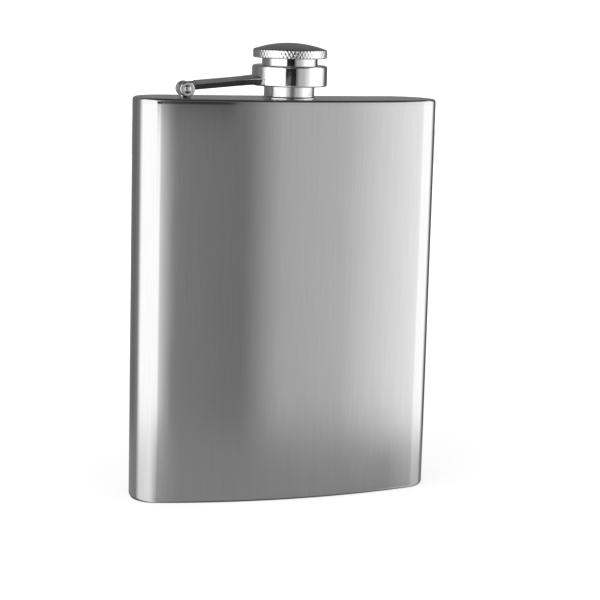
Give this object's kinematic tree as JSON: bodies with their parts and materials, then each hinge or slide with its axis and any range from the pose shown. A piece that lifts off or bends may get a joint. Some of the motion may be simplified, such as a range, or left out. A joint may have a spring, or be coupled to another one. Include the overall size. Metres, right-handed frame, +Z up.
{
  "type": "hip flask",
  "caption": "Curved flat sheet-steel pocket flask with rounded ends, a short threaded neck and a knurled domed screw cap held captive by a hinged arm and collar.",
  "frame": {"origin": "on the underside of the base, on the neck's axis", "axes": "+Z up along the neck, -Y out of the convex front face, +X across the width away from the hinge"},
  "size_m": [0.095, 0.0247, 0.139],
  "materials": {
    "brushed_sheet": "fine brushed satin",
    "polished_lid": "satin with a polished rim",
    "polished_steel": "mirror polished",
    "knurled_steel": "polished with a diamond knurl on the rim",
    "gasket_rubber": "matte"
  },
  "bodies": {
    "flask": {"body_wrap": "brushed_sheet", "top_plate": "polished_lid", "base_plate": "brushed_sheet", "neck": "polished_steel", "hinge_post": "polished_steel"},
    "arm": {"cap_arm": "polished_steel", "cap_collar": "polished_steel", "hinge_pin": "polished_steel"},
    "seal": {"cap_gasket": "gasket_rubber"},
    "cap": {"cap_skirt": "polished_steel", "cap_knob": "knurled_steel"}
  },
  "joints": [
    {"name": "arm_swing", "type": "hinge", "parent": "flask", "child": "arm", "pos_m": [-0.0322, 0, 0.125], "axis": [0, -1, 0], "range_deg": [0, 172]},
    {"name": "cap_lift", "type": "slide", "parent": "arm", "child": "seal", "axis": [0, 0, 1], "range_m": [0, 0.003]},
    {"name": "cap_spin", "type": "hinge", "parent": "seal", "child": "cap", "pos_m": [0, 0, 0.1345], "axis": [0, 0, 1], "range_deg": [0, 720]}
  ],
  "couplings": [
    {"joint": "cap_lift", "follows": "cap_spin", "m_per_rad": 0.00023873}
  ]
}
